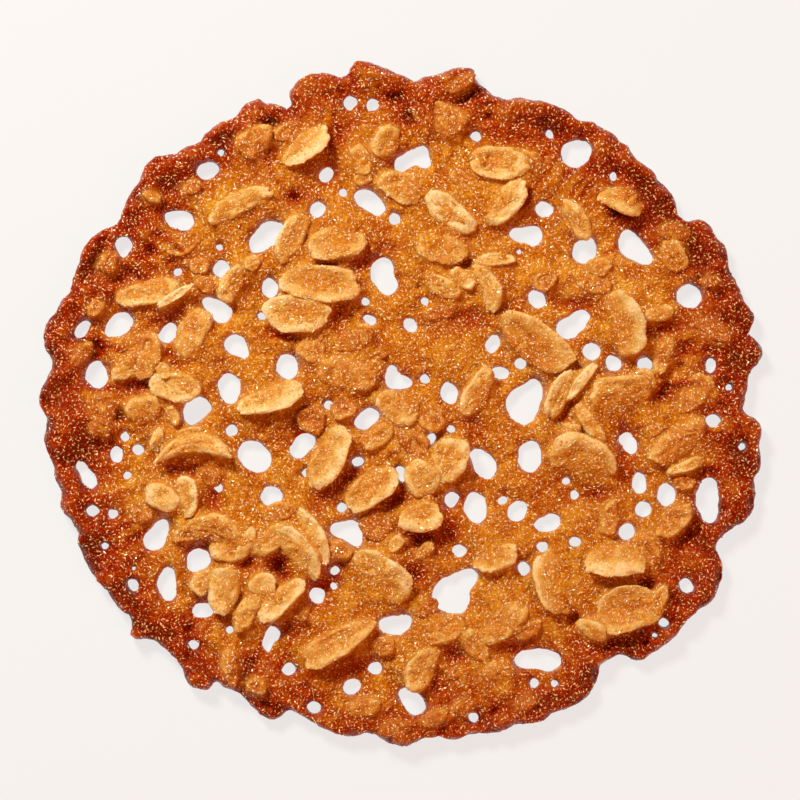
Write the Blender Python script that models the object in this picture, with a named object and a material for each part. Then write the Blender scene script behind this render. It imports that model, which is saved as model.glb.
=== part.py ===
# Oatmeal lace cookie: a thin brittle sheet of baked caramel, open with bubble holes,
# thicker and lobed at its rim, with rolled oat flakes set in its upper side.
# Written in metres, +Z up. The cookie lies on its flat underside, centred on the origin.
# Lengths below are in millimetres, turns in degrees anticlockwise from +X.

import math

import bmesh
import bpy
import numpy as np
from mathutils import Vector, geometry, noise

MM = 0.001
COOKIE_LENGTH = 100.0
LACE_THICKNESS = 2.1
LACE_UNEVENNESS = 0.45
LACE_WAVE = 5.0
RIM_RISE = 0.9
RIM_WIDTH = 7.0
HOLE_LIP_DROP = 0.5
HOLE_LIP_WIDTH = 1.6
FLAKE_EDGE = 0.9
FLAKE_CROWN_DROP = 0.12
FLAKE_LIP_SHARE = 0.45
RIM_ROUND = 0.55
HOLE_ROUND = 0.3
UNDERSIDE_ROUND_SHARE = 0.65
WAIST_SHARE = 0.5
RIM_STEP = 1.35
HOLE_STEP = 1.25
FEWEST_SEGMENTS = 6
RAYS = 96
EASING_PASSES = 6
PINHOLE_OVAL = 0.9
TOP_SPACING = 2.25
BOTTOM_SPACING = 7.0
EDGE_CLEARANCE = 0.95
JITTER = 0.22
MERGE_BELOW = 1e-5
SEED = 17

# The rim's scallops, anticlockwise: where each starts (x, y) and how far it bulges out to the next.
SCALLOPS = (
    (46.9, -0.6, 0.2), (47.7, 4.1, 2.2), (47.5, 9.4, 1.2), (47.2, 13.6, 0.1),
    (44.9, 18.4, 0.8), (43.0, 22.8, 1.3), (39.3, 24.8, -0.1), (37.9, 25.5, 0.9),
    (35.4, 30.2, 0.6), (31.8, 33.5, 0.5), (29.9, 36.0, 0.3), (27.5, 37.6, 0.6),
    (24.3, 38.5, 0.4), (20.9, 40.8, 0.3), (18.4, 41.4, 0.5), (14.3, 41.4, -0.35),
    (10.0, 44.5, 0.45), (9.6, 45.9, 0.45), (5.0, 45.0, 0.35), (2.0, 44.0, 0.05),
    (-3.6, 46.4, 1.5), (-7.5, 44.7, -0.1), (-8.6, 44.6, 0.5), (-13.0, 44.9, 0.5),
    (-15.7, 42.0, -0.15), (-15.2, 40.2, 0.2), (-19.0, 41.1, 0.3), (-19.8, 41.7, 0.5),
    (-22.8, 39.0, 0.9), (-27.6, 35.5, 0.45), (-30.8, 34.0, 1.6), (-36.1, 30.2, 0.5),
    (-38.9, 24.2, 1.2), (-44.3, 19.8, -0.1), (-44.5, 18.4, 0.4), (-45.3, 15.1, 0.4),
    (-47.3, 12.5, 0.4), (-49.2, 9.6, 0.7), (-47.7, 5.4, 0.1), (-49.0, 2.7, 1.15),
    (-48.5, -2.3, 1.1), (-47.6, -8.6, 0.7), (-46.4, -12.3, 1.2), (-45.3, -16.1, 0.1),
    (-44.3, -18.0, 0.6), (-43.9, -20.9, 0.5), (-40.3, -26.1, 0.3), (-36.9, -30.1, 1.6),
    (-35.1, -32.6, 0.1), (-33.2, -33.0, 0.2), (-30.1, -36.2, 1.6), (-26.1, -39.5, -0.1),
    (-25.7, -38.4, 0.15), (-22.1, -40.0, 0.35), (-20.0, -42.3, 0.75), (-16.5, -43.5, -0.2),
    (-15.3, -42.2, 0.1), (-12.6, -43.8, 0.3), (-9.7, -45.2, 0.8), (-4.9, -45.4, -0.1),
    (-3.5, -45.9, 1.3), (3.2, -46.2, 0.1), (5.3, -45.9, 0.9), (9.6, -45.5, 0.7),
    (15.7, -44.3, 0.2), (17.8, -44.1, 0.5), (20.7, -42.6, 0.1), (22.6, -42.3, 1.4),
    (27.3, -36.1, -0.1), (30.0, -34.7, 0.0), (30.8, -35.0, 0.75), (34.0, -35.0, 0.45),
    (39.1, -30.2, 0.1), (41.6, -28.1, 0.55), (43.7, -25.4, 0.45), (43.7, -20.9, -0.1),
    (43.1, -19.8, -0.5), (46.7, -16.9, 0.65), (48.5, -13.4, 0.3), (48.3, -10.6, 0.9),
    (48.9, -6.0, 1.5), (47.2, -1.6, 0.0),
)

# The larger holes. Each is one burst bubble, or a few run together: (x, y, length, width, turn).
HOLES = (
    ((-26.6, 31.7, 3.5, 2.0, 15), (-26.1, 31.9, 2.1, 2.0, 0)),
    ((-29.6, 24.9, 2.3, 2.8, 0), (-31.4, 25.1, 2.8, 1.9, -30)),
    ((-38.1, 21.8, 2.7, 1.7, 0), (-38.1, 20.8, 2.7, 1.3, 90)),
    ((-24.7, 18.2, 2.6, 2.3, 10),),
    ((-18.1, 15.6, 2.9, 2.2, -70),),
    ((-17.8, 23.2, 3.6, 3.3, 30), (-19.6, 21.9, 3.6, 2.4, 60)),
    ((1.5, 33.6, 6.0, 1.7, 31), (0.1, 32.6, 3.0, 2.0, 35), (3.4, 32.7, 2.4, 1.2, -50)),
    ((-10.3, 31.2, 2.5, 1.5, 60),),
    ((-11.5, 26.4, 2.5, 1.8, 30),),
    ((-5.1, 27.9, 2.9, 2.6, -30), (-3.5, 26.9, 3.4, 2.0, -60)),
    ((16.1, 22.9, 2.9, 1.9, -8), (18.2, 22.7, 2.8, 2.4, 80)),
    ((-2.6, 18.1, 3.4, 3.0, 70), (-1.9, 15.9, 2.8, 2.6, 0), (-3.3, 17.5, 2.4, 1.6, 60)),
    ((23.9, 34.2, 4.1, 3.2, 0), (25.2, 34.9, 1.8, 1.7, 0), (23.8, 33.2, 2.8, 2.0, 0)),
    ((19.6, 26.4, 2.6, 2.2, -20),),
    ((25.1, 20.5, 3.3, 2.9, 10), (25.4, 21.5, 2.6, 1.9, 0)),
    ((31.3, 21.6, 4.2, 3.0, -75), (33.0, 20.1, 3.6, 2.2, -50)),
    ((18.6, 14.0, 3.1, 1.9, -40),),
    ((39.4, 14.6, 3.6, 3.0, 0), (40.0, 13.7, 1.9, 1.7, 0)),
    ((-44.1, 9.6, 2.0, 1.5, 60), (-43.4, 10.4, 2.3, 1.1, 45)),
    ((-38.4, 10.9, 3.2, 2.8, 20), (-39.4, 10.0, 3.0, 2.2, 20)),
    ((-32.2, 9.1, 2.3, 2.1, 0), (-31.6, 10.0, 2.3, 1.3, 60)),
    ((-24.7, 12.2, 2.9, 2.7, -60), (-26.2, 13.3, 3.0, 1.8, -25)),
    ((-22.9, 7.9, 3.0, 2.5, 20), (-21.8, 7.1, 3.4, 1.4, -70)),
    ((-41.9, 4.0, 3.4, 2.4, 80), (-42.3, 3.7, 2.8, 1.6, 20), (-41.3, 3.3, 3.4, 1.9, 85)),
    ((-27.9, -0.8, 3.6, 2.7, 10), (-28.6, -1.9, 2.8, 2.2, 70)),
    ((-23.6, 2.3, 3.2, 3.0, 0), (-23.5, 0.9, 2.8, 2.0, 90)),
    ((-20.4, -7.3, 4.4, 3.8, -35), (-19.6, -8.1, 3.6, 3.2, 0)),
    ((-15.7, 4.8, 3.5, 3.0, -70),),
    ((-39.1, -7.2, 2.8, 1.5, -80),),
    ((-42.6, -11.0, 2.0, 2.0, 0), (-43.6, -9.5, 4.0, 1.3, -58)),
    ((-33.9, -18.9, 3.3, 2.8, 60), (-32.9, -17.5, 3.4, 1.9, 75)),
    ((-17.8, -13.1, 3.4, 2.1, 5), (-18.0, -12.5, 2.0, 1.9, 0)),
    ((-4.8, 11.5, 1.3, 1.1, 0), (-4.1, 11.1, 1.8, 1.1, -30)),
    ((1.2, 10.5, 2.3, 1.6, -35),),
    ((12.5, 7.9, 3.0, 1.8, 65),),
    ((13.8, 3.9, 2.0, 1.8, 0), (13.0, 4.1, 2.0, 1.0, 0)),
    ((-1.2, 4.3, 2.4, 1.3, 88), (-1.3, 2.7, 2.2, 1.7, 20), (0.5, 2.7, 2.6, 1.7, 0)),
    ((6.6, 1.2, 3.1, 2.2, -70),),
    ((-5.2, -2.7, 3.0, 2.2, 50), (-4.2, -1.9, 2.6, 1.9, 30)),
    ((16.6, -0.3, 4.6, 4.4, -60), (18.0, 1.2, 4.2, 2.6, 80), (16.9, -1.9, 2.6, 2.6, 0)),
    ((-13.2, -5.5, 3.0, 2.2, 10), (-14.1, -6.7, 2.6, 2.1, 20)),
    ((11.5, -8.9, 3.8, 2.8, -60), (10.4, -7.5, 2.6, 1.9, -60)),
    ((-0.3, -9.4, 1.6, 1.3, 90), (0.2, -10.5, 2.0, 1.0, -60)),
    ((17.6, -7.5, 4.4, 3.0, 85),),
    ((6.9, -13.4, 2.5, 1.7, 60),),
    ((10.2, -14.5, 4.5, 2.9, -82),),
    ((15.9, -15.0, 3.0, 2.6, 45),),
    ((-8.6, -17.6, 2.8, 1.9, 0), (-6.9, -17.7, 3.2, 2.8, -50), (-6.3, -18.9, 2.8, 1.5, -80)),
    ((24.6, 11.5, 2.9, 2.3, 20), (22.4, 10.2, 3.1, 2.0, 20), (23.3, 9.8, 2.8, 2.2, 60)),
    ((26.1, 6.9, 2.6, 2.3, -10),),
    ((29.1, 5.2, 2.5, 2.1, -30),),
    ((42.4, 4.9, 2.3, 1.4, 90),),
    ((30.9, -5.2, 2.3, 2.0, 0), (31.5, -6.2, 2.4, 1.7, -60)),
    ((32.7, -11.9, 1.8, 1.7, 0), (32.6, -10.6, 2.4, 1.5, 90)),
    ((36.3, -12.8, 3.5, 2.3, 90),),
    ((42.1, -11.9, 3.4, 2.3, 70), (41.8, -13.4, 3.2, 2.9, 80), (42.3, -15.4, 3.0, 2.2, 85)),
    ((33.2, -14.8, 2.5, 2.2, 0),),
    ((20.6, -16.5, 2.7, 2.2, 20), (19.3, -17.0, 2.4, 1.9, 10)),
    ((30.9, -17.8, 2.4, 2.3, 0),),
    ((-36.8, -25.2, 2.3, 1.4, -75),),
    ((-32.1, -24.4, 3.9, 2.2, 88), (-32.4, -25.3, 2.3, 2.3, 0), (-31.9, -26.5, 2.2, 1.7, 90)),
    ((-27.8, -21.6, 3.2, 2.6, -15), (-28.4, -22.4, 2.4, 2.0, 60)),
    ((-26.9, -28.7, 2.3, 2.1, 0), (-28.0, -28.8, 2.2, 1.2, 0)),
    ((-17.7, -31.9, 2.7, 1.9, 60), (-18.4, -33.3, 2.8, 1.2, 80)),
    ((-11.6, -26.6, 2.4, 2.0, -20),),
    ((-2.3, -30.6, 2.1, 1.8, 0), (-0.9, -30.9, 2.8, 2.5, 0), (0.5, -30.1, 2.0, 2.0, 60)),
    ((-6.9, -39.2, 2.7, 1.7, -10), (-6.4, -38.8, 1.7, 1.7, 0)),
    ((-12.0, -41.9, 2.2, 1.7, -20),),
    ((0.8, -40.2, 2.9, 1.8, -5), (1.9, -41.7, 3.0, 2.5, 20)),
    ((6.7, -26.5, 5.0, 4.6, 45), (9.0, -24.2, 3.4, 2.5, 10), (8.0, -27.6, 3.0, 2.4, 80)),
    ((16.8, -22.9, 2.3, 1.4, -80),),
    ((17.0, -35.3, 3.2, 2.4, 15), (20.2, -35.5, 3.7, 2.8, -10), (18.5, -35.2, 4.0, 2.4, 0)),
    ((39.1, -25.3, 2.5, 1.6, -55),),
)

# The small holes: (x, y, width).
PINHOLES = (
    (-24.8, 34.1, 1.1), (-25.0, 21.2, 1.2), (-30.7, 17.8, 1.3), (-20.5, 15.6, 1.0),
    (-7.0, 41.0, 1.9), (-4.0, 40.7, 1.8), (11.8, 39.0, 0.9), (10.3, 36.5, 1.6),
    (7.3, 33.8, 0.9), (-8.0, 28.7, 1.4), (-1.0, 25.1, 1.8), (16.2, 20.7, 1.0),
    (2.5, 15.6, 1.0), (3.1, 13.9, 1.3), (-5.0, 13.7, 1.3), (20.3, 36.7, 1.2),
    (29.0, 30.9, 1.2), (-19.2, 11.7, 1.2), (-34.1, 2.9, 1.2), (-23.3, -4.0, 1.6),
    (-37.9, -4.8, 1.4), (-36.2, -6.6, 1.6), (-37.6, -10.1, 1.3), (-25.1, -11.9, 1.3),
    (-42.3, -14.9, 1.7), (-39.5, -15.5, 1.5), (-7.0, 11.4, 0.9), (16.3, 5.2, 1.7),
    (3.2, 3.1, 1.6), (-10.0, -0.5, 1.3), (6.8, -3.7, 1.2), (4.1, -5.0, 1.4),
    (-13.0, -9.7, 1.3), (-6.0, -8.2, 1.5), (13.9, -13.6, 1.5), (-8.2, -14.5, 1.4),
    (33.4, 5.1, 2.0), (44.9, 2.0, 1.2), (42.7, -2.6, 1.9), (46.7, -6.1, 1.1),
    (22.6, -10.9, 1.2), (23.7, -12.7, 1.3), (38.4, 4.9, 0.9), (-40.6, -19.8, 1.1),
    (-36.7, -23.0, 0.9), (-29.2, -31.5, 1.0), (-28.5, -33.3, 1.4), (-23.6, -31.3, 1.3),
    (-16.8, -33.8, 0.9), (-15.4, -36.7, 1.9), (-9.1, -23.2, 1.2), (-9.4, -25.4, 1.2),
    (-3.6, -36.6, 1.9), (-9.4, -41.0, 0.9), (9.9, -43.4, 1.5), (7.9, -20.4, 1.9),
    (18.2, -38.6, 1.4), (20.9, -38.6, 1.2), (19.4, -19.9, 1.6), (23.9, -19.2, 1.6),
    (38.0, -27.5, 1.0), (36.0, -30.3, 1.5), (34.7, -32.0, 1.0), (33.7, -33.1, 1.0),
    (23.7, -29.8, 0.9),
)

# The oat flakes that stand out of the lace: (x, y, length, width, turn, height, lean).
# Height is the middle's above the underside, and lean is how much higher the flake's left edge is.
FLAKES = (
    (-20.3, 35.8, 6.0, 4.0, 30, 3.9, 0.5), (-22.2, 27.3, 9.0, 3.4, 28, 4.3, -0.8),
    (-33.2, 14.8, 9.6, 3.6, 10, 4.3, -0.6), (-29.9, 21.9, 5.5, 3.2, 25, 3.6, -0.4),
    (-23.3, 16.2, 5.5, 3.0, 65, 3.6, 0.4), (-14.9, 22.3, 7.0, 3.6, 60, 4.0, 0.4),
    (-13.1, 35.3, 7.6, 4.0, 38, 4.4, -0.8), (-2.1, 35.8, 4.6, 3.5, 60, 4.0, 0.6),
    (-5.4, 33.3, 4.5, 3.0, -75, 3.7, 0.3), (0.0, 29.7, 6.5, 4.4, -20, 3.9, -0.4),
    (5.1, 39.3, 8.0, 4.3, -20, 4.0, 0.5), (13.4, 33.0, 8.0, 4.6, -5, 4.4, -0.6),
    (17.6, 31.8, 5.0, 3.5, -30, 3.9, -0.4), (14.3, 27.0, 7.4, 3.5, 60, 4.2, 0.8),
    (6.7, 26.1, 8.2, 4.0, -38, 4.6, 0.2), (5.8, 21.2, 8.0, 4.4, -15, 4.3, -0.5),
    (12.7, 19.6, 5.4, 1.9, 3, 3.9, -0.3), (12.0, 15.6, 7.4, 3.0, -65, 4.1, 0.6),
    (5.8, 15.8, 6.0, 2.6, -30, 3.9, 0.5), (-8.8, 21.8, 8.0, 4.4, 5, 4.5, -0.5),
    (-11.0, 16.3, 11.0, 5.4, -5, 4.2, -0.6), (-14.3, 12.1, 9.0, 5.2, 0, 4.7, -0.3),
    (-12.2, 7.6, 5.0, 3.8, 60, 3.6, 0.0), (-7.5, 4.2, 8.4, 4.4, -10, 4.0, 0.2),
    (0.0, -0.8, 6.4, 4.0, -35, 4.1, -0.5), (10.5, 1.6, 7.0, 3.2, 60, 3.7, 0.6),
    (-3.2, -4.6, 4.6, 3.2, 30, 3.6, -0.4), (6.9, -8.2, 5.6, 5.0, 80, 4.3, -0.5),
    (2.9, -10.3, 5.2, 4.4, -50, 4.6, 0.2), (-9.5, -7.8, 9.4, 4.4, 62, 4.2, -0.9),
    (-4.3, -11.9, 8.4, 4.2, 35, 4.5, -0.5), (2.6, -15.8, 6.0, 4.0, 10, 4.6, -0.8),
    (-11.9, -18.3, 8.4, 2.8, -65, 4.3, 0.4), (-14.2, -20.4, 8.8, 4.2, -48, 4.5, 0.7),
    (-16.6, -27.0, 8.0, 3.4, 45, 4.5, -0.6), (-2.5, -23.8, 9.4, 5.4, -42, 4.8, 0.7),
    (13.4, -21.4, 6.4, 3.4, 20, 4.2, -0.9), (-8.4, -33.3, 11.0, 4.2, 28, 4.7, -0.5),
    (2.9, -36.6, 7.2, 3.8, 60, 4.3, 0.4), (5.9, -31.2, 7.6, 3.6, 20, 4.2, -0.4),
    (10.3, -33.5, 6.2, 3.4, -50, 4.1, 0.3), (13.0, -38.0, 6.0, 4.6, 30, 3.9, 0.4),
    (15.2, -29.4, 8.0, 3.4, 38, 4.0, -0.4), (21.4, -25.0, 9.4, 5.8, -70, 4.6, -0.9),
    (29.5, -21.8, 8.2, 4.4, 0, 4.9, -1.0), (31.5, -28.3, 9.2, 6.2, 15, 4.6, 0.0),
    (26.3, -31.0, 5.0, 3.0, -35, 4.0, 0.3), (37.6, -16.3, 6.4, 4.0, 40, 4.0, -0.6),
    (28.6, -15.9, 5.0, 2.6, 75, 3.8, 0.4), (30.6, 11.0, 9.0, 5.4, -72, 4.2, 0.9),
    (35.8, 12.3, 4.2, 2.4, 10, 3.7, -0.4), (18.6, 8.4, 11.2, 5.8, -38, 4.2, 0.8),
    (21.8, 1.3, 6.4, 2.8, 62, 4.3, 0.4), (25.0, 3.0, 6.2, 2.0, 52, 4.4, 0.3),
    (26.1, -2.7, 7.0, 2.4, -52, 4.2, -0.3), (30.6, 0.9, 8.4, 6.2, 10, 4.4, 0.9),
    (35.8, 7.0, 5.2, 2.6, 70, 3.8, 0.4), (40.5, 1.4, 6.4, 3.6, 52, 3.8, 0.4),
    (38.4, -5.3, 8.8, 4.6, 35, 4.3, 0.5), (25.0, -7.6, 9.4, 6.0, -15, 4.6, 0.7),
    (24.1, 25.0, 6.4, 3.0, -58, 3.9, 0.4), (30.4, 27.5, 7.0, 3.8, -20, 3.8, 0.3),
    (38.0, 20.2, 6.0, 4.2, 35, 3.9, -0.5), (-36.2, 5.8, 7.8, 5.4, 50, 4.3, -0.6),
    (-28.8, 9.6, 7.4, 3.8, 65, 4.2, -0.4), (-31.0, 2.9, 7.4, 4.6, -10, 4.6, -0.5),
    (-35.4, -1.7, 5.0, 3.8, 20, 4.0, 0.5), (-41.3, -2.1, 6.4, 4.6, 80, 3.8, 0.3),
    (-29.2, -6.8, 10.4, 3.8, 8, 4.6, -0.8), (-32.6, -13.2, 5.2, 3.6, -20, 4.2, 0.2),
    (-29.5, -12.6, 5.8, 2.8, -80, 4.0, 0.3), (-25.6, -17.2, 8.4, 3.6, -18, 4.3, 0.4),
    (-23.9, -24.6, 6.4, 4.8, 65, 4.4, 0.3), (-21.3, -19.5, 5.0, 2.2, 62, 4.4, 0.3),
    (-17.6, -18.6, 7.0, 3.4, 30, 4.3, 0.4), (-21.4, -28.6, 6.0, 3.0, 60, 4.0, -0.3),
    (-17.8, 0.5, 9.4, 3.8, 18, 4.4, -0.9), (-6.3, 8.6, 6.0, 3.4, 30, 3.5, 0.2),
)


def local_turn(turn):
    return math.cos(math.radians(turn)), math.sin(math.radians(turn))


def arc_points(start, end, bulge, step):
    """Points from start up to end on the arc that stands bulge to the right of the line between them."""
    chord = end - start
    length = float(np.hypot(*chord))
    outward = np.array((chord[1], -chord[0])) / length
    count = max(2, round(length * (1.0 + 2.0 * (bulge / length) ** 2) / step))
    shares = np.arange(count) / count
    rises = bulge * 4.0 * shares * (1.0 - shares)
    return [start + share * chord + rise * outward for share, rise in zip(shares, rises)]


def rim_loop():
    corners = [np.array(row[:2]) for row in SCALLOPS]
    points = []
    for index, row in enumerate(SCALLOPS):
        following = corners[(index + 1) % len(corners)]
        points.extend(arc_points(corners[index], following, row[2], RIM_STEP))
    return np.array(points)


def ray_exit(centre, angles, lobe):
    """How far from the centre each ray leaves the ellipse, and 0 where it misses."""
    x, y, length, width, turn = lobe
    cosine, sine = local_turn(turn)
    along = ((centre[0] - x) * cosine + (centre[1] - y) * sine) * 2.0 / length
    across = ((centre[1] - y) * cosine - (centre[0] - x) * sine) * 2.0 / width
    run = np.cos(angles - math.radians(turn)) * 2.0 / length
    rise = np.sin(angles - math.radians(turn)) * 2.0 / width
    a = run ** 2 + rise ** 2
    b = along * run + across * rise
    inside = b ** 2 - a * (along ** 2 + across ** 2 - 1.0)
    reach = (np.sqrt(np.maximum(inside, 0.0)) - b) / a
    return np.where(inside > 0.0, np.maximum(reach, 0.0), 0.0)


def spread_evenly(loop, step, fewest):
    """The closed loop again, with points about a step apart."""
    closed = np.vstack([loop, loop[:1]])
    runs = np.concatenate([[0.0], np.cumsum(np.hypot(*np.diff(closed, axis=0).T))])
    count = max(fewest, round(runs[-1] / step))
    places = np.arange(count) * runs[-1] / count
    return np.stack([np.interp(places, runs, closed[:, axis]) for axis in (0, 1)], axis=1)


def hole_loop(lobes):
    """The outline of a few overlapping ellipses, corners eased, as a polygon of the same area."""
    areas = np.array([lobe[2] * lobe[3] for lobe in lobes])
    centre = np.average([lobe[:2] for lobe in lobes], axis=0, weights=areas)
    angles = np.linspace(0.0, 2.0 * math.pi, RAYS, endpoint=False)
    reach = np.max([ray_exit(centre, angles, lobe) for lobe in lobes], axis=0)
    for _ in range(EASING_PASSES):
        reach = (np.roll(reach, 1) + 2.0 * reach + np.roll(reach, -1)) / 4.0
    fine = centre + np.stack([reach * np.cos(angles), reach * np.sin(angles)], axis=1)
    corners = spread_evenly(fine, HOLE_STEP, FEWEST_SEGMENTS)
    step = 2.0 * math.pi / len(corners)
    return centre + (corners - centre) * math.sqrt(step / math.sin(step))


def offset_loop(loop, distance):
    """The anticlockwise loop moved outwards by the distance."""
    tangents = np.roll(loop, -1, axis=0) - np.roll(loop, 1, axis=0)
    normals = np.stack([tangents[:, 1], -tangents[:, 0]], axis=1)
    return loop + distance * normals / np.hypot(*normals.T)[:, None]


def distance_to_loop(points, loop):
    """The distance from each point to the loop's nearest side."""
    ends = np.roll(loop, -1, axis=0)
    sides = ends - loop
    nearest = np.full(len(points), np.inf)
    for start, side in zip(loop, sides):
        share = np.clip(((points - start) @ side) / (side @ side), 0.0, 1.0)
        gap = points - start - share[:, None] * side
        nearest = np.minimum(nearest, np.hypot(gap[:, 0], gap[:, 1]))
    return nearest


def inside_loop(points, loop):
    ends = np.roll(loop, -1, axis=0)
    crossings = np.zeros(len(points), int)
    for (x0, y0), (x1, y1) in zip(loop, ends):
        spans = (points[:, 1] >= min(y0, y1)) & (points[:, 1] < max(y0, y1))
        if y0 != y1:
            crossings += spans & (points[:, 0] < x0 + (points[:, 1] - y0) * (x1 - x0) / (y1 - y0))
    return crossings % 2 == 1


def smooth_share(values):
    eased = np.clip(values, 0.0, 1.0)
    return eased * eased * (3.0 - 2.0 * eased)


def flake_heights(points, flake):
    """The flake's own top over each point, with its edges falling away, or 0 beyond them."""
    x, y, length, width, turn, height, lean = flake
    cosine, sine = local_turn(turn)
    along = ((points[:, 0] - x) * cosine + (points[:, 1] - y) * sine) / (length / 2.0)
    across = ((points[:, 1] - y) * cosine - (points[:, 0] - x) * sine) / (width / 2.0)
    out = np.hypot(along, across)
    fall = smooth_share((1.0 - out) * min(length, width) / 2.0 / FLAKE_EDGE + 1.0)
    crown = 1.0 - FLAKE_CROWN_DROP * np.minimum(out, 1.0) ** 2
    return (height + lean * np.clip(across, -1.0, 1.0)) * crown * fall


def top_heights(points, rim, holes):
    """The upper side's height over each point: the lace, its thick rim and the flakes."""
    waves = np.array([noise.noise(Vector((x / LACE_WAVE, y / LACE_WAVE, 0.7))) for x, y in points])
    heights = LACE_THICKNESS + LACE_UNEVENNESS * waves
    heights += RIM_RISE * (1.0 - smooth_share(distance_to_loop(points, rim) / RIM_WIDTH))
    to_hole = np.min([distance_to_loop(points, hole) for hole in holes], axis=0)
    heights -= HOLE_LIP_DROP * (1.0 - smooth_share(to_hole / HOLE_LIP_WIDTH))
    lip = FLAKE_LIP_SHARE + (1.0 - FLAKE_LIP_SHARE) * smooth_share(to_hole / HOLE_LIP_WIDTH)
    for flake in FLAKES:
        heights = np.maximum(heights, flake_heights(points, flake) * lip)
    return heights


def scattered(spacing, rim, holes, generator):
    """Points on a loose triangular grid inside the rim, clear of it and of every hole."""
    rows = []
    half = COOKIE_LENGTH / 2.0
    for row, y in enumerate(np.arange(-half, half, spacing * math.sqrt(0.75))):
        xs = np.arange(-half, half, spacing) + (row % 2) * spacing / 2.0
        rows.append(np.stack([xs, np.full(len(xs), y)], axis=1))
    points = np.vstack(rows)
    points += generator.uniform(-JITTER, JITTER, points.shape) * spacing
    points = points[inside_loop(points, rim)]
    points = points[distance_to_loop(points, rim) > EDGE_CLEARANCE]
    for hole in holes:
        points = points[~inside_loop(points, hole)]
        points = points[distance_to_loop(points, hole) > EDGE_CLEARANCE]
    return points


def triangulated(loops, points):
    """Triangles between the outer loop and the holes. The loops' points come first, then the others."""
    corners = np.vstack(loops + [points])
    sides = []
    start = 0
    for loop in loops:
        count = len(loop)
        sides.extend((start + step, start + (step + 1) % count) for step in range(count))
        start += count
    inside_sides = 1
    made = geometry.delaunay_2d_cdt(
        [Vector(corner) for corner in corners], sides, [], inside_sides, MERGE_BELOW)
    triangles = np.array([[made[3][vertex][0] for vertex in face] for face in made[2]])
    middles = corners[triangles].mean(axis=1)
    open_spaces = np.any([inside_loop(middles, hole) for hole in loops[1:]], axis=0)
    triangles = triangles[~open_spaces].tolist()
    return corners, triangles


def add_wall(mesh, lower, upper, outer):
    """A ring of faces between two rows of vertices, facing out of the sheet."""
    count = len(lower)
    for step in range(count):
        after = (step + 1) % count
        side = [lower[step], lower[after], upper[after], upper[step]]
        mesh.faces.new(side if outer else side[::-1])


def build_cookie():
    generator = np.random.default_rng(SEED)
    rim = rim_loop()
    scale = COOKIE_LENGTH / np.ptp(rim[:, 0])
    holes = [hole_loop(lobes) for lobes in HOLES]
    holes += [hole_loop(((x, y, width, width * PINHOLE_OVAL, 0),)) for x, y, width in PINHOLES]
    rounded = [True] * (1 + len(HOLES)) + [False] * len(PINHOLES)
    rounds = [-RIM_ROUND] + [HOLE_ROUND if bevelled else 0.0 for bevelled in rounded[1:]]
    waists = [rim] + holes
    tops = [offset_loop(loop, ease) for loop, ease in zip(waists, rounds)]
    bottoms = [offset_loop(loop, ease * UNDERSIDE_ROUND_SHARE)
               for loop, ease in zip(waists, rounds)]

    top_points, top_faces = triangulated(
        tops, scattered(TOP_SPACING, tops[0], tops[1:], generator))
    low_points, low_faces = triangulated(
        bottoms, scattered(BOTTOM_SPACING, bottoms[0], bottoms[1:], generator))
    heights = top_heights(top_points, rim, holes)

    centre = (rim.max(axis=0) + rim.min(axis=0)) / 2.0

    def placed(point, height):
        x, y = (point - centre) * scale
        return Vector((x, y, height)) * MM

    mesh = bmesh.new()
    upper = [mesh.verts.new(placed(p, h)) for p, h in zip(top_points, heights)]
    lower = [mesh.verts.new(placed(p, 0.0)) for p in low_points]
    for face in top_faces:
        mesh.faces.new([upper[index] for index in face])
    for face in low_faces:
        mesh.faces.new([lower[index] for index in face[::-1]])
    start = 0
    for number, waist in enumerate(waists):
        count = len(waist)
        above = upper[start:start + count]
        below = lower[start:start + count]
        outer = number == 0
        if rounded[number]:
            middle = [mesh.verts.new(placed(point, WAIST_SHARE * heights[start + step]))
                      for step, point in enumerate(waist)]
            add_wall(mesh, below, middle, outer)
            add_wall(mesh, middle, above, outer)
        else:
            add_wall(mesh, below, above, outer)
        start += count
    bmesh.ops.triangulate(mesh, faces=mesh.faces)
    bmesh.ops.recalc_face_normals(mesh, faces=mesh.faces)
    data = bpy.data.meshes.new("cookie")
    mesh.to_mesh(data)
    mesh.free()
    return data


def baked_caramel():
    material = bpy.data.materials.new("baked_caramel")
    material.use_nodes = True
    shader = material.node_tree.nodes["Principled BSDF"]
    shader.inputs["Base Color"].default_value = (0.55, 0.17, 0.02, 1.0)
    shader.inputs["Roughness"].default_value = 0.35
    shader.inputs["Metallic"].default_value = 0.0
    return material


for existing in list(bpy.data.objects):
    bpy.data.objects.remove(existing)

cookie = bpy.data.objects.new("cookie", build_cookie())
cookie.data.materials.append(baked_caramel())
bpy.context.scene.collection.objects.link(cookie)
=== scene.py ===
import math

import bmesh
import bpy
import numpy as np
from mathutils import Matrix, Vector, noise
from mathutils.bvhtree import BVHTree


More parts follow.
